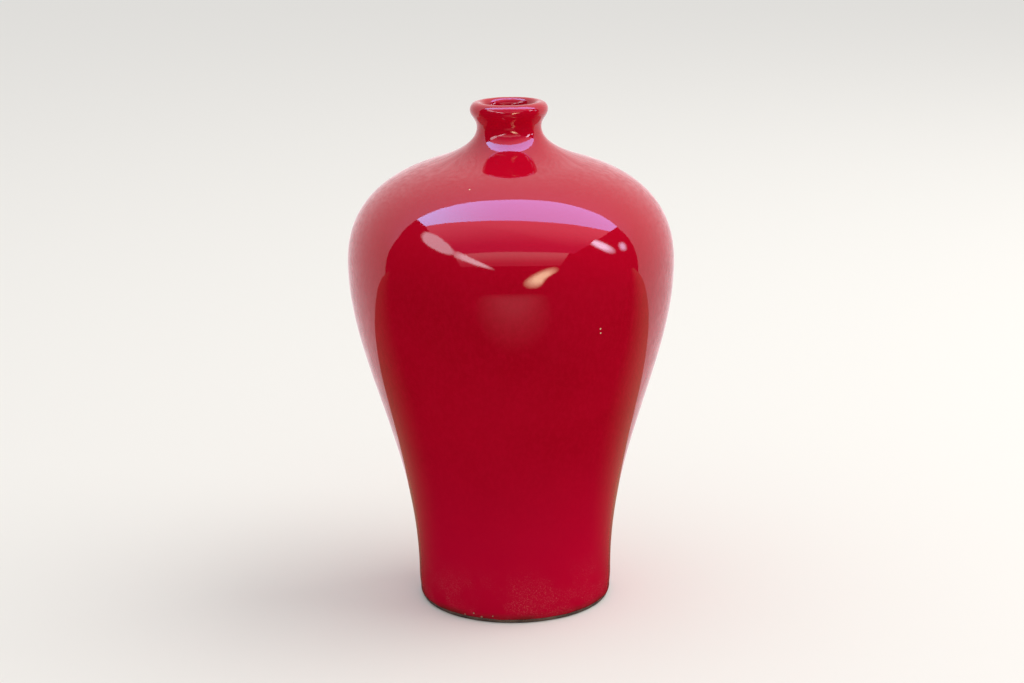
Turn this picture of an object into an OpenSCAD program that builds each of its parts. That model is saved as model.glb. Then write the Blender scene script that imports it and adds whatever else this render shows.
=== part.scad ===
// A high-shouldered, narrow-mouthed glazed vase of the meiping form, without a lid.
// It is laid out the way a large thrown vase is made: four clay sections luted one on
// another with slip, then a coloured glaze outside and down the throat, a liner glaze in
// the cavity and a glaze patch in the recess of the base. The foot ring stays unglazed.
// Millimetres, +Z up, origin at the centre of the foot ring's resting plane.

/* [Outline] */
// Height from the resting plane to the crest of the lip
height = 330; // [320:1:345]
// Outside radius of the glazed foot, just above the heel
foot_r = 64; // [60:0.5:70]
// Largest outside radius, at the shoulder
shoulder_r = 105.5; // [99:0.5:112]
// Height of the largest radius, as a share of the whole height
shoulder_at = 0.69; // [0.67:0.002:0.7]
// Outside radius where the shoulder stops bulging and turns up into the neck
neck_root_r = 49; // [46:0.5:53]
// Height of that turn, as a share of the whole height
neck_root_at = 0.887; // [0.88:0.001:0.892]
// Smallest outside radius of the neck
throat_r = 20.7; // [19.2:0.1:22]
// Largest outside radius of the rolled lip
lip_r = 25; // [24.4:0.1:26.5]

/* [Walls] */
// Radius of the straight bore inside the neck
bore_r = 16; // [14:0.1:16.5]
// Wall at the foot, both glazes included
foot_wall = 7.5; // [6:0.1:9]
// Wall at the shoulder, both glazes included
shoulder_wall = 5.5; // [5:0.1:7]
// Clay floor between the cavity and the recess of the base
floor_thick = 7; // [6:0.5:8]
// Thickness of every glaze coat
glaze = 0.5; // [0.4:0.05:0.7]

/* [Foot] */
// Height of the bare clay band under the edge of the glaze
bare_band = 2.6; // [2:0.1:4]
// Width of the flat that the foot ring rests on
foot_land = 6.5; // [5:0.5:8]
// Depth of the recess inside the foot ring
recess = 4.5; // [3:0.5:5]

/* [Luted joints] */
// Thickness of the slip between two sections
slip = 0.8; // [0.5:0.1:1.2]
// Depth of the V in which each section seats on the one below
notch = 2; // [1:0.25:2.5]

/* [Hidden] */
$fn = 180;

clay_color = "tan";
slip_color = "wheat";
red_color = "crimson";
liner_color = "ivory";

// Heights and radii that follow from the driving dimensions
heel_z = 15;               // top of the heel's curve
shoulder_z = shoulder_at * height;
neck_root = [neck_root_r, neck_root_at * height];
throat_z = height - 16;    // narrowest point of the neck
lip_z = height - 5;        // widest point of the lip
crest_r = 20;              // radius of the lip's crest
bore_top = height - 6;     // where the lip's roll meets the straight bore
bore_bottom = height - 24; // where the bore opens into the cavity
heel_inset = 0.9;          // how far the heel draws in at the edge of the glaze
bare_r = foot_r - heel_inset - glaze;  // clay radius at the edge of the glaze
land_r = bare_r - 1.8;     // outer edge of the resting flat
land_in_r = land_r - foot_land;
recess_r = land_in_r - 5;  // flat part of the recess
patch_r = recess_r - 1;    // base glaze
floor_z = recess + floor_thick + glaze;
root_slope = 18;           // fall of the shoulder at the neck root, in degrees
shoulder_down = [cos(root_slope), -sin(root_slope)];

// How far each curve keeps the direction that it has at its end
foot_reach = 91;           // flank, upright above the foot
belly_reach = 67;          // flank, upright below the shoulder
crown_reach = 47;          // crown, upright above the shoulder
slope_reach = 17;          // crown, straight down the slope outside the neck root
collar_reach = 15.5;       // root, straight up the slope inside the neck root
throat_reach = 10;         // root, upright below the throat
bend_reach = 11;           // floor's bend, down the wall

// Where the sections meet, as parameters of the flank and root curves
lower_t = 0.30;
middle_t = 0.80;
neck_t = 0.30;
floor_t = 0.045;           // where the flank's inner face leaves the floor's curve

// --- Outside: cubic Beziers as four [radius, height] points, from the heel over the lip ---

heel = [[foot_r - heel_inset, bare_band], [foot_r - heel_inset, 6],
        [foot_r, 9], [foot_r, heel_z]];
flank = [[foot_r, heel_z], [foot_r, heel_z + foot_reach],
         [shoulder_r, shoulder_z - belly_reach], [shoulder_r, shoulder_z]];
crown = [[shoulder_r, shoulder_z], [shoulder_r, shoulder_z + crown_reach],
         neck_root + slope_reach * shoulder_down, neck_root];
root = [neck_root, neck_root - collar_reach * shoulder_down,
        [throat_r, throat_z - throat_reach], [throat_r, throat_z]];
flare = [[throat_r, throat_z], [throat_r, throat_z + 5],
         [lip_r, lip_z - 4], [lip_r, lip_z]];
lip_outside = [[lip_r, lip_z], [lip_r, lip_z + 3.2],
               [crest_r + 2.6, height], [crest_r, height]];
lip_inside = [[crest_r, height], [crest_r - 2.4, height],
              [bore_r, bore_top + 3.6], [bore_r, bore_top]];

function bezier(p, t) = pow(1 - t, 3) * p[0] + 3 * pow(1 - t, 2) * t * p[1]
                      + 3 * (1 - t) * t * t * p[2] + pow(t, 3) * p[3];
function slope(p, t) = 3 * pow(1 - t, 2) * (p[1] - p[0]) + 6 * (1 - t) * t * (p[2] - p[1])
                     + 3 * t * t * (p[3] - p[2]);
function along(p, t) = slope(p, t) / norm(slope(p, t));
// A point at a depth to the curve's left, which is into the clay on the outside curves
function at_depth(p, depth, t) = let (d = along(p, t)) bezier(p, t) + depth * [-d[1], d[0]];
function line(p, depth, steps) = [for (t = steps) at_depth(p, depth, t)];
function steps(t0, t1, n) = [for (i = [0:n]) t0 + (t1 - t0) * i / n];
function rest(list) = [for (i = [1:len(list) - 1]) list[i]];
function reversed(list) = [for (i = [len(list) - 1:-1:0]) list[i]];

// --- Steps along the curves, shared by the clay and by the glazes that lie on it ---

function above(p, t) = t + slip / norm(slope(p, t));
heel_steps = steps(0, 1, 6);
base_steps = rest(steps(0, lower_t, 20));
belly_steps = steps(above(flank, lower_t), middle_t, 30);
brow_steps = steps(above(flank, middle_t), 1, 8);
crown_steps = rest(steps(0, 1, 28));
collar_steps = rest(steps(0, neck_t, 9));
neck_steps = steps(above(root, neck_t), 1, 12);
flare_steps = rest(steps(0, 1, 12));
lip_steps = rest(steps(0, 1, 10));
base_cavity_steps = steps(floor_t, lower_t, 20);
floor_steps = rest(steps(0, 1, 12));

// --- Outside lines at a depth: 0 is the glaze's face, glaze is the clay's ---

function foot_line(depth) = concat(line(heel, depth, heel_steps), line(flank, depth, base_steps));
function belly_line(depth) = line(flank, depth, belly_steps);
function shoulder_line(depth) = concat(
    line(flank, depth, brow_steps), line(crown, depth, crown_steps), line(root, depth, collar_steps));
function neck_line(depth) = concat(
    line(root, depth, neck_steps), line(flare, depth, flare_steps),
    line(lip_outside, depth, lip_steps), line(lip_inside, depth, lip_steps),
    [[bore_r + depth, bore_bottom]]);

// --- Cavity lines, run upwards: back 0 is the liner's face, back glaze is the clay's ---

function wall_at(t) = foot_wall + (shoulder_wall - foot_wall) * t;
function flank_cavity(back, steps) = [for (t = steps) at_depth(flank, wall_at(t) - back, t)];
inner_root = let (start = at_depth(root, shoulder_wall, 0))
    [start, start - collar_reach * shoulder_down,
     [bore_r, bore_bottom - throat_reach], [bore_r, bore_bottom]];
wall_foot = at_depth(flank, wall_at(floor_t), floor_t);
floor_bend = [wall_foot, wall_foot - bend_reach * along(flank, floor_t),
              [wall_foot[0] - 7, floor_z], [wall_foot[0] - 22, floor_z]];
function floor_cavity(back) =
    reversed(concat(line(floor_bend, back, floor_steps), [[0, floor_z - back]]));
function base_cavity(back) = concat(floor_cavity(back), flank_cavity(back, base_cavity_steps));
function shoulder_cavity(back) = concat(
    flank_cavity(back, brow_steps), line(crown, shoulder_wall - back, crown_steps),
    line(inner_root, -back, collar_steps));
function neck_cavity(back) = line(inner_root, -back, neck_steps);

// --- Parts ---

module ring(outer, inner) {
    rotate_extrude()
        polygon(concat(outer, reversed(inner)));
}

// Middle of a V-shaped rim between its outer and inner edge
function v(outer, inner, up) = [(outer + inner) / 2 - notch * up];
function flank_v(t) =
    v(at_depth(flank, glaze, t), at_depth(flank, wall_at(t) - glaze, t), along(flank, t));
function root_v(t) =
    v(at_depth(root, glaze, t), at_depth(inner_root, -glaze, t), along(root, t));

module base_section() {
    ring_bend = [[recess_r, recess], [recess_r + 2.5, recess],
                 [land_in_r - 0.6, 1.8], [land_in_r, 0]];
    foot_bend = [[land_r, 0], [land_r + 1.1, 0], [bare_r, 0.8], [bare_r, bare_band]];
    foot_ring = concat([[0, recess]], line(ring_bend, 0, steps(0, 1, 8)),
                       line(foot_bend, 0, steps(0, 0.875, 7)));
    color(clay_color)
        ring(concat(foot_ring, foot_line(glaze), flank_v(lower_t)), base_cavity(glaze));
}

module belly_section() {
    color(clay_color)
        ring(concat(flank_v(belly_steps[0]), belly_line(glaze), flank_v(middle_t)),
             flank_cavity(glaze, belly_steps));
}

module shoulder_section() {
    color(clay_color)
        ring(concat(flank_v(brow_steps[0]), shoulder_line(glaze), root_v(neck_t)),
             shoulder_cavity(glaze));
}

module neck_section() {
    color(clay_color)
        ring(concat(root_v(neck_steps[0]), neck_line(glaze)), neck_cavity(glaze));
}

module flank_seam(t0, t1) {
    color(slip_color)
        ring(concat(flank_v(t0), line(flank, glaze, [t0, t1]), flank_v(t1)),
             flank_cavity(glaze, [t0, t1]));
}

module lower_seam() {
    flank_seam(lower_t, belly_steps[0]);
}

module middle_seam() {
    flank_seam(middle_t, brow_steps[0]);
}

module neck_seam() {
    color(slip_color)
        ring(concat(root_v(neck_t), line(root, glaze, [neck_t, neck_steps[0]]), root_v(neck_steps[0])),
             line(inner_root, -glaze, [neck_t, neck_steps[0]]));
}

// Coloured glaze: outside from the bare band up, over the lip and down the bore
module outer_glaze() {
    function face(depth) =
        concat(foot_line(depth), belly_line(depth), shoulder_line(depth), neck_line(depth));
    color(red_color)
        ring(face(0), face(glaze));
}

// Glaze that lines the cavity from the floor to the end of the bore
module liner_glaze() {
    function face(back) = concat(base_cavity(back), flank_cavity(back, belly_steps),
                                 shoulder_cavity(back), neck_cavity(back));
    color(liner_color)
        ring(face(glaze), face(0));
}

// Glaze patch inside the foot ring
module base_glaze() {
    color(liner_color)
        translate([0, 0, recess - glaze])
            cylinder(r = patch_r, h = glaze);
}

base_section();
belly_section();
shoulder_section();
neck_section();
lower_seam();
middle_seam();
neck_seam();
outer_glaze();
liner_glaze();
base_glaze();
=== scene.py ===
"""The looks of a red-glazed, high-shouldered vase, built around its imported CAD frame.

Metres, +Z up, the vase standing on z = 0. The outline repeats the CAD's curves, so the glaze made here
lies on the clay that carries it. Angles round the vase start at the camera's side and grow towards +X.
"""

import math

import bpy
import numpy as np
from mathutils import Matrix, Vector


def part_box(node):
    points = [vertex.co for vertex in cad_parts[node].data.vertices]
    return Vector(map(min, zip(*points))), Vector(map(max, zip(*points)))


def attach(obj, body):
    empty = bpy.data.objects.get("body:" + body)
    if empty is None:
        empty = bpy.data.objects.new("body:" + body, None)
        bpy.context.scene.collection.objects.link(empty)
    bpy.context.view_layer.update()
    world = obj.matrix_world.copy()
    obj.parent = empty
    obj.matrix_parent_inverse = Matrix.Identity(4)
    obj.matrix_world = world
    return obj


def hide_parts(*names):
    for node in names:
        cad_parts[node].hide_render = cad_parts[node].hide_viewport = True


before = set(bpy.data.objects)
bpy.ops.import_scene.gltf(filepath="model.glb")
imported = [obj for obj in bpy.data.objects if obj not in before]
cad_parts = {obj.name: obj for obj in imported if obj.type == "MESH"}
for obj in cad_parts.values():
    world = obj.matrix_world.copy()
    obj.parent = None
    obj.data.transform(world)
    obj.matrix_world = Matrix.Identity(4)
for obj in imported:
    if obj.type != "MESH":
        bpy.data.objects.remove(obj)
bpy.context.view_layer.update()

MM = 0.001

# --- The outline, as the CAD has it: cubic Beziers of (radius, height) points in metres ---

glaze_low, glaze_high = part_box("outer_glaze")
HEIGHT = glaze_high.z
SHOULDER_R = glaze_high.x
BARE_BAND = glaze_low.z
GLAZE = 0.5 * MM
FOOT_R = 64 * MM
HEEL_Z = 15 * MM
HEEL_INSET = 0.9 * MM
SHOULDER_Z = 0.69 * HEIGHT
NECK_ROOT = np.array([49 * MM, 0.887 * HEIGHT])
THROAT_R = 20.7 * MM
THROAT_Z = HEIGHT - 16 * MM
LIP_R = 25 * MM
LIP_Z = HEIGHT - 5 * MM
CREST_R = 20 * MM
BORE_R = 16 * MM
BORE_TOP = HEIGHT - 6 * MM
BORE_BOTTOM = HEIGHT - 24 * MM
SLOPE_ANGLE = math.radians(18)
SLOPE = np.array([math.cos(SLOPE_ANGLE), -math.sin(SLOPE_ANGLE)])
# How far the curves' handles reach along their tangents
FOOT_REACH = 91 * MM
BELLY_REACH = 67 * MM
CROWN_REACH = 47 * MM
SLOPE_REACH = 17 * MM
COLLAR_REACH = 15.5 * MM
THROAT_REACH = 10 * MM

heel = [
    (FOOT_R - HEEL_INSET, BARE_BAND),
    (FOOT_R - HEEL_INSET, 6 * MM),
    (FOOT_R, 9 * MM),
    (FOOT_R, HEEL_Z),
]
flank = [
    (FOOT_R, HEEL_Z),
    (FOOT_R, HEEL_Z + FOOT_REACH),
    (SHOULDER_R, SHOULDER_Z - BELLY_REACH),
    (SHOULDER_R, SHOULDER_Z),
]
crown = [
    (SHOULDER_R, SHOULDER_Z),
    (SHOULDER_R, SHOULDER_Z + CROWN_REACH),
    NECK_ROOT + SLOPE_REACH * SLOPE,
    NECK_ROOT,
]
root = [
    NECK_ROOT,
    NECK_ROOT - COLLAR_REACH * SLOPE,
    (THROAT_R, THROAT_Z - THROAT_REACH),
    (THROAT_R, THROAT_Z),
]
flare = [
    (THROAT_R, THROAT_Z),
    (THROAT_R, THROAT_Z + 5 * MM),
    (LIP_R, LIP_Z - 4 * MM),
    (LIP_R, LIP_Z),
]
lip_outside = [
    (LIP_R, LIP_Z),
    (LIP_R, LIP_Z + 3.2 * MM),
    (CREST_R + 2.6 * MM, HEIGHT),
    (CREST_R, HEIGHT),
]
lip_inside = [
    (CREST_R, HEIGHT),
    (CREST_R - 2.4 * MM, HEIGHT),
    (BORE_R, BORE_TOP + 3.6 * MM),
    (BORE_R, BORE_TOP),
]
bore = [
    (BORE_R, BORE_TOP),
    (BORE_R, BORE_TOP - 6 * MM),
    (BORE_R, BORE_BOTTOM + 6 * MM),
    (BORE_R, BORE_BOTTOM),
]
OUTLINE = [heel, flank, crown, root, flare, lip_outside, lip_inside, bore]
# Spacing of the mesh's rows along each curve, on the glaze's face and on the hidden clay side
FACE_STEPS = [step * MM for step in (0.4, 2.3, 2.3, 1.6, 0.9, 0.6, 0.6, 1.5)]
CLAY_STEPS = [step * MM for step in (2, 6, 6, 4, 2, 1.5, 1.5, 4)]


def bezier(curve, t):
    """Points of a curve at the parameters t."""
    a, b, c, d = (np.array(p, float) for p in curve)
    t = np.asarray(t, float)[:, None]
    return (1 - t) ** 3 * a + 3 * (1 - t) ** 2 * t * b + 3 * (1 - t) * t * t * c + t**3 * d


def chain(curves, spacings):
    """Points along joined curves, each curve at its own spacing."""
    points = []
    for curve, spacing in zip(curves, spacings):
        length = distances(bezier(curve, np.linspace(0, 1, 400)))[-1]
        count = max(2, round(length / spacing))
        steps = np.linspace(0, 1, count + 1)
        # A curve after the first starts where the one before it ended
        points.extend(bezier(curve, steps[1:] if points else steps))
    return np.array(points)


def distances(points):
    """Distance of each point along the line that joins them."""
    return np.concatenate([[0], np.cumsum(np.linalg.norm(np.diff(points, axis=0), axis=1))])


def outward(points):
    """Unit vectors to the right of a line run upwards, which is away from the clay."""
    along = np.gradient(points, axis=0)
    along /= np.linalg.norm(along, axis=1)[:, None]
    return np.stack([along[:, 1], -along[:, 0]], axis=1)


# --- Meshes ---


def lathe(name, radius, height, angles):
    """A ring of revolution from arrays of radius and height, one row for each point of the closed
    profile and one column for each angle."""
    rows, columns = radius.shape
    x = radius * np.sin(angles)
    y = -radius * np.cos(angles)
    verts = np.stack([x, y, height], axis=-1).reshape(-1, 3)
    row, column = np.meshgrid(np.arange(rows), np.arange(columns), indexing="ij")
    here = row * columns
    above = (row + 1) % rows * columns
    beside = (column + 1) % columns
    corners = [here + column, here + beside, above + beside, above + column]
    quads = np.stack(corners, axis=-1).reshape(-1, 4)
    mesh = bpy.data.meshes.new(name)
    mesh.from_pydata(verts.tolist(), [], quads.tolist())
    mesh.update()
    mesh.polygons.foreach_set("use_smooth", [True] * len(mesh.polygons))
    piece = bpy.data.objects.new(name, mesh)
    bpy.context.scene.collection.objects.link(piece)
    return piece


def store(piece, name, values):
    """Keeps one number for each point of the mesh, for its material."""
    attribute = piece.data.attributes.new(name, "FLOAT", "POINT")
    attribute.data.foreach_set("value", np.asarray(values, np.float32).ravel())


def waves(angles, along, terms, seed):
    """A smooth sum of waves round the vase and along its outline, between -1 and 1. Each term is
    (waves round the vase, wave length along the outline in metres)."""
    phases = np.random.default_rng(seed).uniform(0, 2 * math.pi, len(terms))
    total = sum(
        np.cos(turns * angles[None, :] + 2 * math.pi * along[:, None] / length + phase)
        for (turns, length), phase in zip(terms, phases)
    )
    return total / len(terms)


def bump(x, centre, width):
    """A smooth hill of height 1."""
    return np.exp(-(((x - centre) / width) ** 2))


# Small chips near the edge of the glaze: angle in degrees, height, radius, share of the glaze lost
CHIPS = [
    (-25.5, 5.2 * MM, 0.75 * MM, 0.85),
    (-20.5, 3.2 * MM, 0.95 * MM, 0.9),
    (-13.5, 4.8 * MM, 0.6 * MM, 0.8),
    (-31.5, 3.2 * MM, 0.7 * MM, 0.8),
    (148.0, 3.4 * MM, 1.1 * MM, 0.9),
    (152.5, 5.2 * MM, 0.6 * MM, 0.8),
]


# Small pale yellowish dots in the glaze, partly pinhole flaws and partly painted glints: angle in degrees,
# height, radius
PINHOLE_GLINTS = [
    (31.5, 202.2 * MM, 0.50 * MM),
    (31.7, 199.4 * MM, 0.45 * MM),
    (-21.0, 285.0 * MM, 0.50 * MM),
    (118.0, 171.0 * MM, 0.45 * MM),
    (203.0, 236.0 * MM, 0.50 * MM),
    (262.0, 96.0 * MM, 0.40 * MM),
]


def on_glaze(angle, height):
    """The place on the glaze's outside at an angle in degrees and a height."""
    face = chain([heel, flank, crown, root], [MM, MM, MM, MM])
    radius = np.interp(height, face[:, 1], face[:, 0])
    turn = math.radians(angle)
    return (radius * math.sin(turn), -radius * math.cos(turn), height)


def glaze_angles():
    """Angles round the glaze, closer together where the chips are."""
    step, close_step, reach = 1.5, 0.3, 1.2
    even = np.radians(np.arange(0, 360, step))
    close = [np.radians(np.arange(a - reach, a + reach, close_step)) for a, *_ in CHIPS]
    return np.unique(np.round(np.concatenate([even, *close]) % (2 * math.pi), 4))


def chip_loss(face, angles):
    """Share of the glaze lost to the chips, each a shallow bowl with a ragged rim, on each mesh point."""
    lost = np.zeros((len(face), len(angles)))
    rise = face[:, 1:2]
    for angle, height, size, share in CHIPS:
        turn = np.angle(np.exp(1j * (angles - math.radians(angle))))
        aside = (turn * FOOT_R)[None, :]
        away = np.hypot(aside, rise - height) / size
        ragged = 1 + 0.22 * np.cos(5 * np.arctan2(rise - height, aside) + angle)
        bowl = share * np.clip(1.6 * (1 - away / ragged), 0, 1)
        lost = np.maximum(lost, bowl)
    return lost


def glaze_skin():
    """The red glaze: outside from a rolled edge above the foot, over the lip and down the bore."""
    face = chain(OUTLINE, FACE_STEPS)
    clay = chain(OUTLINE, CLAY_STEPS)
    angles = glaze_angles()
    along = distances(face)
    # Thickness: a round edge, a thicker roll just above it, and slow unevenness from firing
    edge, roll_height, roll_thickness, unevenness = 1.3 * MM, 1.6 * MM, 0.22 * MM, 0.10 * MM
    thinnest = 0.06
    rounded = np.sqrt(np.clip(1 - (1 - np.minimum(along / edge, 1)) ** 2, 0, 1))
    roll = roll_thickness * bump(along, roll_height, roll_height)
    slow = waves(angles, along, [(2, 1.9), (3, -1.1), (5, 0.31), (7, -0.19), (11, 0.11), (13, -0.085)], 4)
    thick = (GLAZE + roll)[:, None] + unevenness * slow
    thick *= (thinnest + (1 - thinnest) * rounded)[:, None]
    lost = chip_loss(face, angles)
    thick = thick * (1 - lost)
    out = outward(face)
    base = face - GLAZE * out
    radius = base[:, :1] + out[:, :1] * thick
    height = base[:, 1:] + out[:, 1:] * thick
    # The edge of the glaze wanders a little, and so does the height of the lip
    edge_reach, edge_wander, lip_reach, lip_wander = 7 * MM, 0.55 * MM, 9 * MM, 0.14 * MM
    level = np.zeros(1)
    edge_wave = waves(angles, level, [(2, 1), (5, 1), (9, 1), (17, 1), (26, 1)], 11)
    height += np.clip(1 - along / edge_reach, 0, 1)[:, None] ** 2 * edge_wander * edge_wave
    lip_wave = waves(angles, level, [(1, 1), (2, 1), (3, 1)], 21)
    height += lip_wander * lip_wave * bump(face[:, 1], HEIGHT, lip_reach)[:, None]
    # The inner face lies on the clay, with a hair between them
    clearance = 0.01 * MM
    inside = (clay - (GLAZE - clearance) * outward(clay))[::-1]
    even = np.ones(len(angles))
    radius = np.vstack([radius, inside[:, :1] * even])
    height = np.vstack([height, inside[:, 1:] * even])
    piece = lathe("glaze_skin", radius, height, angles)
    store(piece, "chipped", np.vstack([lost, np.zeros((len(inside), len(angles)))]))
    return piece


# --- Materials ---


def set_range(node, *values):
    """Sets the range that a Map Range node reads and the range that it gives."""
    for socket, value in zip(("From Min", "From Max", "To Min", "To Max"), values):
        node.inputs[socket].default_value = value


class Nodes:
    """Short names for building one material's node tree."""

    def __init__(self, name):
        self.material = bpy.data.materials.new(name)
        self.material.use_nodes = True
        self.tree = self.material.node_tree
        self.shader = self.tree.nodes["Principled BSDF"]

    def node(self, kind, **settings):
        made = self.tree.nodes.new(kind)
        for key, value in settings.items():
            setattr(made, key, value)
        return made

    def link(self, source, target):
        self.tree.links.new(source, target)

    def put(self, socket, value):
        """Links an output to a socket, or sets the socket to a plain value."""
        if isinstance(value, bpy.types.NodeSocket):
            self.link(value, socket)
        else:
            socket.default_value = value

    def place(self):
        return self.node("ShaderNodeTexCoord").outputs["Object"]

    def noise(self, scale, detail, rough=0.5, stretch=None):
        """Noise from 0 to 1, with scale in waves per metre."""
        vector = self.place()
        if stretch:
            mapping = self.node("ShaderNodeMapping")
            mapping.inputs["Scale"].default_value = stretch
            self.link(vector, mapping.inputs["Vector"])
            vector = mapping.outputs["Vector"]
        made = self.node("ShaderNodeTexNoise")
        self.link(vector, made.inputs["Vector"])
        made.inputs["Scale"].default_value = scale
        made.inputs["Detail"].default_value = detail
        made.inputs["Roughness"].default_value = rough
        return made.outputs["Fac"]

    def remap(self, value, low, high, to_low=0.0, to_high=1.0):
        """Maps one range to another, easing in and out."""
        made = self.node("ShaderNodeMapRange", interpolation_type="SMOOTHSTEP")
        self.link(value, made.inputs["Value"])
        set_range(made, low, high, to_low, to_high)
        return made.outputs["Result"]

    def math(self, operation, first, second):
        made = self.node("ShaderNodeMath", operation=operation)
        self.put(made.inputs[0], first)
        self.put(made.inputs[1], second)
        return made.outputs[0]

    def mix(self, share, first, second):
        """A colour between two colours."""
        made = self.node("ShaderNodeMix", data_type="RGBA")
        self.put(made.inputs["Factor"], share)
        self.put(made.inputs["A"], first)
        self.put(made.inputs["B"], second)
        return made.outputs["Result"]

    def spots(self, places):
        """1 inside small balls, each a (place, radius), and 0 outside them."""
        edge = 0.35
        total = None
        for place, radius in places:
            gap = self.node("ShaderNodeVectorMath", operation="DISTANCE")
            self.link(self.place(), gap.inputs[0])
            gap.inputs[1].default_value = place
            spot = self.remap(gap.outputs["Value"], radius * (1 + edge), radius * (1 - edge))
            total = self.math("MAXIMUM", total, spot) if total else spot
        return total

    def height(self):
        """Height above the resting plane."""
        split = self.node("ShaderNodeSeparateXYZ")
        self.link(self.place(), split.inputs[0])
        return split.outputs["Z"]

    def attribute(self, name):
        return self.node("ShaderNodeAttribute", attribute_name=name).outputs["Fac"]

    def bump(self, height, distance, strength, below=None):
        """A bump whose full height is a distance in metres."""
        made = self.node("ShaderNodeBump")
        made.inputs["Distance"].default_value = distance
        made.inputs["Strength"].default_value = strength
        self.link(height, made.inputs["Height"])
        if below:
            self.link(below, made.inputs["Normal"])
        return made.outputs["Normal"]


def red_glaze_material():
    """Deep crimson glaze with a mirror gloss, slightly uneven in depth of colour."""
    n = Nodes("red_glaze")
    cloudy = n.remap(n.noise(14, 3, 0.55), 0.3, 0.7)
    colour = n.mix(cloudy, (0.365, 0.0004, 0.010, 1), (0.415, 0.0008, 0.014, 1))
    # Brighter on the shoulder: painted light falling from overhead
    high = n.remap(n.height(), 215 * MM, 270 * MM)
    colour = n.mix(high, colour, (0.50, 0.001, 0.016, 1))
    # Lighter and pinker down the tapering foot: painted bounce light from the floor
    low = n.remap(n.height(), 150 * MM, 15 * MM)
    colour = n.mix(low, colour, (0.505, 0.0012, 0.028, 1))
    mottle = n.remap(n.noise(420, 3, 0.6, stretch=(1, 1, 0.6)), 0.38, 0.7)
    colour = n.mix(n.math("MULTIPLY", mottle, 0.30), colour, (0.52, 0.003, 0.025, 1))
    grain = n.remap(n.noise(1500, 2, 0.6), 0.35, 0.75)
    colour = n.mix(n.math("MULTIPLY", grain, 0.30), colour, (0.50, 0.006, 0.022, 1))
    # A dusty haze of fine pale flecks just above the foot
    flecks = n.remap(n.noise(1300, 3, 0.8), 0.50, 0.66)
    patchy = n.remap(n.noise(38, 3, 0.6), 0.42, 0.62)
    near_foot = n.remap(n.height(), 45 * MM, 10 * MM)
    haze = n.math("MULTIPLY", n.math("MULTIPLY", flecks, patchy), near_foot)
    haze = n.math("MULTIPLY", haze, 0.27)
    colour = n.mix(haze, colour, (0.66, 0.20, 0.20, 1))
    # Darker and browner where the glaze thins out over the clay at its lower edge
    fired = n.remap(n.noise(60, 3, 0.6), 0.3, 0.7, 0.25, 0.75)
    edge = n.math("MULTIPLY", n.remap(n.height(), 8 * MM, 3.2 * MM), fired)
    colour = n.mix(edge, colour, (0.12, 0.018, 0.012, 1))
    thin = n.remap(n.height(), HEIGHT - 3 * MM, HEIGHT - 0.4 * MM)
    colour = n.mix(n.math("MULTIPLY", thin, 0.35), colour, (0.52, 0.02, 0.02, 1))
    # Painted glints: pale yellowish dots mixed into the glaze's colour where pinhole flaws would catch the
    # light
    painted_glints = n.spots([(on_glaze(angle, height), radius) for angle, height, radius in PINHOLE_GLINTS])
    colour = n.mix(painted_glints, colour, (0.80, 0.66, 0.42, 1))
    chipped = n.remap(n.attribute("chipped"), 0.15, 0.6)
    colour = n.mix(chipped, colour, (0.42, 0.25, 0.16, 1))
    n.link(colour, n.shader.inputs["Base Color"])
    gloss = n.remap(n.noise(60, 4, 0.6), 0.35, 0.8, 0.03, 0.06)
    gloss = n.math("ADD", gloss, n.math("MULTIPLY", haze, 0.8))
    n.link(n.math("ADD", gloss, n.math("MULTIPLY", chipped, 0.6)), n.shader.inputs["Roughness"])
    ripple = n.bump(n.noise(120, 2, 0.4), 0.02 * MM, 0.35)
    n.link(n.bump(n.noise(700, 2, 0.5), 0.004 * MM, 0.30, ripple), n.shader.inputs["Normal"])
    n.shader.inputs["IOR"].default_value = 1.5
    return n.material


def clay_material():
    """Dark brown-grey stoneware, dry, blotched and gritty."""
    n = Nodes("stoneware")
    blotches = n.remap(n.noise(90, 4, 0.6), 0.35, 0.7)
    colour = n.mix(blotches, (0.060, 0.040, 0.028, 1), (0.15, 0.10, 0.066, 1))
    grit = n.remap(n.noise(1400, 3, 0.7), 0.55, 0.75)
    colour = n.mix(grit, colour, (0.30, 0.22, 0.15, 1))
    n.link(colour, n.shader.inputs["Base Color"])
    n.link(n.remap(blotches, 0, 1, 0.75, 0.95), n.shader.inputs["Roughness"])
    n.link(n.bump(n.noise(1800, 4, 0.7), 0.12 * MM, 0.8), n.shader.inputs["Normal"])
    return n.material


def slip_material():
    """Matt fired slip, paler than the clay."""
    n = Nodes("slip")
    colour = n.mix(n.noise(300, 3), (0.20, 0.15, 0.11, 1), (0.30, 0.24, 0.18, 1))
    n.link(colour, n.shader.inputs["Base Color"])
    n.shader.inputs["Roughness"].default_value = 0.85
    n.link(n.bump(n.noise(900, 3), 0.05 * MM, 0.6), n.shader.inputs["Normal"])
    return n.material


def liner_material():
    """Pale, faintly green-grey glaze with fine iron specks."""
    n = Nodes("liner_glaze")
    cloudy = n.remap(n.noise(30, 3), 0.3, 0.7)
    colour = n.mix(cloudy, (0.60, 0.58, 0.50, 1), (0.70, 0.68, 0.60, 1))
    specks = n.remap(n.noise(800, 2, 0.4), 0.70, 0.74)
    colour = n.mix(n.math("MULTIPLY", specks, 0.7), colour, (0.20, 0.13, 0.08, 1))
    n.link(colour, n.shader.inputs["Base Color"])
    n.link(n.remap(n.noise(50, 3), 0.3, 0.8, 0.08, 0.16), n.shader.inputs["Roughness"])
    n.link(n.bump(n.noise(150, 2), 0.05 * MM, 0.4), n.shader.inputs["Normal"])
    return n.material


# --- Stage: floor, backdrop, lights and the camera ---


def floor_material():
    """Pale and matt, with no shine."""
    n = Nodes("floor")
    n.shader.inputs["Base Color"].default_value = (0.85, 0.82, 0.77, 1)
    n.shader.inputs["Roughness"].default_value = 0.9
    n.shader.inputs["Specular IOR Level"].default_value = 0
    return n.material


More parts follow.
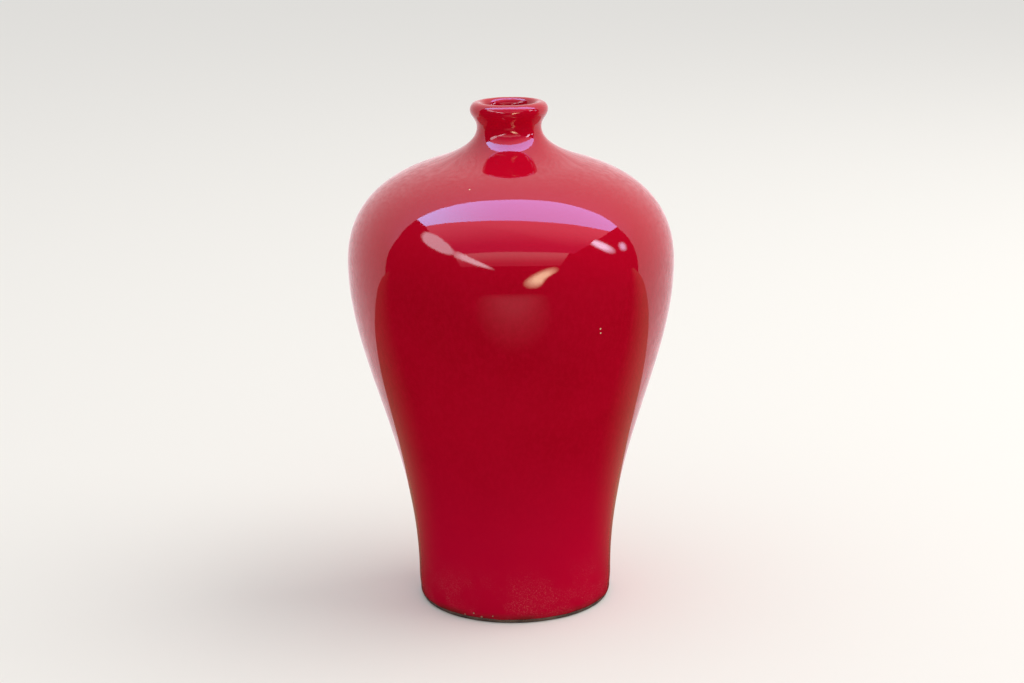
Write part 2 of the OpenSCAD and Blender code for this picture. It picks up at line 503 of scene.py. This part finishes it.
def glow_material(name, low, high, start, end, axis, lean=0.0):
    """Light that turns from one colour to another between two places along an axis, 0 to 2 for X to Z.
    Lean is the share by which it is dimmer to the left and brighter to the right."""
    material = bpy.data.materials.new(name)
    material.use_nodes = True
    tree = material.node_tree
    tree.nodes.clear()
    place = tree.nodes.new("ShaderNodeTexCoord")
    split = tree.nodes.new("ShaderNodeSeparateXYZ")
    tree.links.new(place.outputs["Object"], split.inputs[0])

    def ramp(source, values):
        made = tree.nodes.new("ShaderNodeMapRange")
        made.interpolation_type = "SMOOTHSTEP"
        tree.links.new(split.outputs[source], made.inputs["Value"])
        set_range(made, *values)
        return made.outputs["Result"]

    mixed = tree.nodes.new("ShaderNodeMix")
    mixed.data_type = "RGBA"
    mixed.inputs["A"].default_value = (*low, 1)
    mixed.inputs["B"].default_value = (*high, 1)
    glow = tree.nodes.new("ShaderNodeEmission")
    out = tree.nodes.new("ShaderNodeOutputMaterial")
    tree.links.new(ramp(axis, (start, end, 0, 1)), mixed.inputs["Factor"])
    tree.links.new(mixed.outputs["Result"], glow.inputs["Color"])
    tree.links.new(ramp(0, (-0.6, 0.6, 1 - lean, 1 + lean)), glow.inputs["Strength"])
    tree.links.new(glow.outputs[0], out.inputs[0])
    return material


def stage_mesh(name, corners, faces, material, seen_by):
    """A stage piece that only the named kinds of ray meet."""
    mesh = bpy.data.meshes.new(name)
    mesh.from_pydata([tuple(c) for c in corners], [], faces)
    mesh.materials.append(material)
    piece = bpy.data.objects.new(name, mesh)
    bpy.context.scene.collection.objects.link(piece)
    for kind in ("camera", "diffuse", "glossy", "transmission", "volume_scatter", "shadow"):
        setattr(piece, f"visible_{kind}", kind in seen_by)
    return piece


def card(name, corners, low, high, start, end, axis=2, lean=0.0):
    """A studio card that only reflections see."""
    material = glow_material(name, low, high, start, end, axis, lean)
    return stage_mesh(name, corners, [tuple(range(len(corners)))], material, ("glossy",))


def soft_card(name, corners, colour, core):
    """A studio card that fades out from a bright core to nothing at its edge. The core is the share of
    its width that is at full strength."""
    material = glow_material(name, colour, colour, 0.0, 1.0, 2)
    tree = material.node_tree
    share = tree.nodes.new("ShaderNodeAttribute")
    share.attribute_name = "share"
    clear = tree.nodes.new("ShaderNodeBsdfTransparent")
    blend = tree.nodes.new("ShaderNodeMixShader")
    tree.links.new(share.outputs["Fac"], blend.inputs[0])
    tree.links.new(clear.outputs[0], blend.inputs[1])
    tree.links.new(tree.nodes["Emission"].outputs[0], blend.inputs[2])
    tree.links.new(blend.outputs[0], tree.nodes["Material Output"].inputs[0])
    outer = np.array(corners, float)
    # The corners are cut twice, which rounds them, before the core is set inside
    for _ in range(2):
        after = np.roll(outer, -1, axis=0)
        outer = np.stack([0.75 * outer + 0.25 * after, 0.25 * outer + 0.75 * after], axis=1).reshape(-1, 3)
    middle = outer.mean(axis=0)
    inner = middle + core * (outer - middle)
    count = len(outer)
    faces = [(i, (i + 1) % count, (i + 1) % count + count, i + count) for i in range(count)]
    faces.append(tuple(range(count, 2 * count)))
    piece = stage_mesh(name, [*outer, *inner], faces, material, ("glossy",))
    store(piece, "share", [0.0] * count + [1.0] * count)
    return piece


def roughcast(material):
    """Breaks a card's even light into fine grains, as a roughcast wall does."""
    tree = material.node_tree
    place = tree.nodes.new("ShaderNodeTexCoord")
    grain = tree.nodes.new("ShaderNodeTexNoise")
    grain.inputs["Scale"].default_value = 120
    grain.inputs["Detail"].default_value = 3
    tree.links.new(place.outputs["Object"], grain.inputs["Vector"])
    spread = tree.nodes.new("ShaderNodeMapRange")
    set_range(spread, 0.3, 0.7, 0.78, 1.22)
    tree.links.new(grain.outputs["Fac"], spread.inputs["Value"])
    glow = tree.nodes["Emission"].inputs["Strength"]
    leaned = glow.links[0].from_socket
    product = tree.nodes.new("ShaderNodeMath")
    product.operation = "MULTIPLY"
    tree.links.new(leaned, product.inputs[0])
    tree.links.new(spread.outputs["Result"], product.inputs[1])
    tree.links.new(product.outputs[0], glow)


def add_stage():
    """A pale floor and, far off, a pale wall."""
    far = 12.0
    square = [(-far, -far, 0), (far, -far, 0), (far, far, 0), (-far, far, 0)]
    seen_by = ("camera", "diffuse", "transmission", "shadow")
    stage_mesh("floor", square, [(0, 1, 2, 3)], floor_material(), seen_by)
    # Pale wall all round, beyond every camera
    turns = [math.radians(a) for a in range(0, 360, 10)]
    ring = [(far * math.cos(a), far * math.sin(a), z) for z in (0, far) for a in turns]
    count = len(turns)
    sides = [(i, (i + 1) % count, (i + 1) % count + count, i + count) for i in range(count)]
    pale = glow_material("backdrop", (0.86, 0.84, 0.81), (0.89, 0.885, 0.88), 0.0, 3.0, 2)
    stage_mesh("backdrop", ring, sides, pale, ("camera",))


def towards(azimuth, elevation, distance):
    """A place seen from the shoulder's front, by angles in degrees; azimuth 0 is the camera's side."""
    start_y, start_z = -0.08, 0.25
    a, e = math.radians(azimuth), math.radians(elevation)
    flat = distance * math.cos(e)
    return (flat * math.sin(a), start_y - flat * math.cos(a), start_z + distance * math.sin(e))


def add_cards():
    """What the gloss mirrors: a pale wall close behind, a shaded table, and soft lights overhead."""
    wall_y, wall_top, left, right = 0.196, 1.30, -2.3, 1.8
    wall = card(
        "wall_card",
        [(left, wall_y, 0), (right, wall_y, 0), (right, wall_y, wall_top), (left, wall_y, wall_top)],
        (1.08, 0.94, 0.97),
        (1.42, 1.22, 1.54),
        start=0.35,
        end=1.2,
        lean=0.02,
    )
    roughcast(wall.data.materials[0])
    table_x, table_front, table_z = 4, -1.0, 0.0004
    card(
        "table_card",
        [
            (-table_x, table_front, table_z),
            (table_x, table_front, table_z),
            (table_x, wall_y, table_z),
            (-table_x, wall_y, table_z),
        ],
        (0.02, 0.003, 0.004),
        (0.38, 0.28, 0.18),
        start=-0.05,
        end=0.19,
        axis=1,
        lean=0.35,
    )
    # Overhead, a cool sky panel meets a red awning along a slightly bowed edge
    sky_z, sky_left, sky_right, sky_back = 1.75, -1.5, 2.3, 0.8
    front, awning_foot, valance_foot = -1.6, 1.27, 0.70
    bowed = [(x, -0.46 + 0.1 * (x - 0.35) ** 2, sky_z) for x in np.linspace(sky_left, sky_right, 12)]
    card(
        "sky_card",
        bowed + [(sky_right, sky_back, sky_z), (sky_left, sky_back, sky_z)],
        (3.8, 6.6, 13.0),
        (4.2, 4.5, 10.2),
        start=-1.3,
        end=0.0,
        axis=0,
    )
    card(
        "awning_card",
        bowed[::-1] + [(sky_left, front, awning_foot), (1.7, front, awning_foot)],
        (1.6, 0.15, 0.45),
        (3.5, 1.0, 1.4),
        start=1.35,
        end=1.72,
    )
    card(
        "valance_card",
        [
            (-1.1, front, valance_foot),
            (1.1, front, valance_foot),
            (1.5, front, awning_foot),
            (-1.4, front, awning_foot),
        ],
        (1.4, 0.25, 0.4),
        (2.8, 1.35, 1.5),
        start=0.75,
        end=1.2,
    )
    # Soft patches: name, colour, core, distance, and corners as (azimuth, elevation) in degrees. Two
    # make a long strip to the left, one is warm and right of the middle, two are cool and far right.
    patches = [
        (
            "panel_card",
            (5.4, 5.2, 6.0),
            0.78,
            1.3,
            [(-86, 41), (-72, 43), (-58, 40), (-42, 29), (-44, 23), (-58, 25), (-80, 32)],
        ),
        (
            "streak_card",
            (8.0, 7.6, 8.4),
            0.5,
            1.2,
            [(-48, 33), (-28, 24), (-11, 13), (-11, 10.5), (-22, 14), (-46, 23)],
        ),
        (
            "warm_card",
            (13.0, 11.0, 7.0),
            0.35,
            2.5,
            [(6, -1), (9, -8), (20, -8), (25, 2), (36, 9), (31, 15), (16, 9)],
        ),
        ("cool_card", (11.0, 12.0, 16.0), 0.35, 2.5, [(60, 40), (70, 37), (84, 14), (76, 12), (66, 24)]),
        ("pale_card", (6.0, 7.0, 10.0), 0.3, 2.5, [(86, 22), (94, 20), (92, 10), (84, 13)]),
    ]
    for name, colour, core, distance, corners in patches:
        soft_card(name, [towards(a, e, distance) for a, e in corners], colour, core)
    # A faint glow from the ground in front
    ground_z = 0.002
    ground = [(-0.5, -1.3), (0.55, -1.3), (0.24, -0.34), (-0.2, -0.34)]
    soft_card("ground_card", [(x, y, ground_z) for x, y in ground], (0.80, 0.42, 0.46), 0.25)


def add_light(name, place, aim, size, watts, colour):
    """A soft rectangular light that doesn't show in reflections."""
    light = bpy.data.lights.new(name, "AREA")
    light.shape = "RECTANGLE"
    light.size, light.size_y = size
    light.energy = watts
    light.color = colour
    lamp = bpy.data.objects.new(name, light)
    lamp.location = place
    lamp.rotation_euler = (Vector(aim) - Vector(place)).to_track_quat("-Z", "Y").to_euler()
    lamp.visible_glossy = False
    bpy.context.scene.collection.objects.link(lamp)


def add_lighting():
    """Even light from all round, stronger from above, with a soft key light from the right."""
    level_strength, top_strength = 0.37, 1.15
    world = bpy.data.worlds.new("soft_light")
    bpy.context.scene.world = world
    world.use_nodes = True
    tree = world.node_tree
    direction = tree.nodes.new("ShaderNodeTexCoord")
    split = tree.nodes.new("ShaderNodeSeparateXYZ")
    ramp = tree.nodes.new("ShaderNodeMapRange")
    set_range(ramp, 0.0, 1.0, level_strength, top_strength)
    background = tree.nodes["Background"]
    background.inputs["Color"].default_value = (0.95, 0.97, 1.0, 1)
    tree.links.new(direction.outputs["Generated"], split.inputs[0])
    tree.links.new(split.outputs["Z"], ramp.inputs["Value"])
    tree.links.new(ramp.outputs["Result"], background.inputs["Strength"])
    world.cycles_visibility.glossy = False
    world.cycles_visibility.camera = False
    place, aim, size = (1.7, 0.1, 2.1), (0, 0, 0.1), (2.4, 2.4)
    add_light("key", place, aim, size, watts=34, colour=(1.0, 0.98, 0.95))


def add_camera():
    """The camera, in front of the vase and above its top, looking down on it."""
    place, pitch, roll = (0, -1.318, 0.513), math.radians(-14.5), math.radians(-0.77)
    camera = bpy.data.cameras.new("camera")
    camera.lens = 73.1
    holder = bpy.data.objects.new("camera", camera)
    bpy.context.scene.collection.objects.link(holder)
    turn = Matrix.Rotation(math.radians(90) + pitch, 4, "X") @ Matrix.Rotation(roll, 4, "Z")
    holder.matrix_world = Matrix.Translation(place) @ turn
    bpy.context.scene.camera = holder


# --- The vase ---


def finish_node(name, material):
    """Gives a CAD node its material."""
    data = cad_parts[name].data
    data.materials.clear()
    data.materials.append(material)


red_glaze = red_glaze_material()
finishes = [
    (clay_material(), ("base_section", "belly_section", "shoulder_section", "neck_section")),
    (slip_material(), ("lower_seam", "middle_seam", "neck_seam")),
    (liner_material(), ("liner_glaze", "base_glaze")),
]
for material, names in finishes:
    for name in names:
        finish_node(name, material)

skin = glaze_skin()
skin.data.materials.append(red_glaze)
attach(skin, "root")
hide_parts("outer_glaze")

add_camera()
add_stage()
add_cards()
add_lighting()
bpy.context.scene.view_settings.view_transform = "Standard"
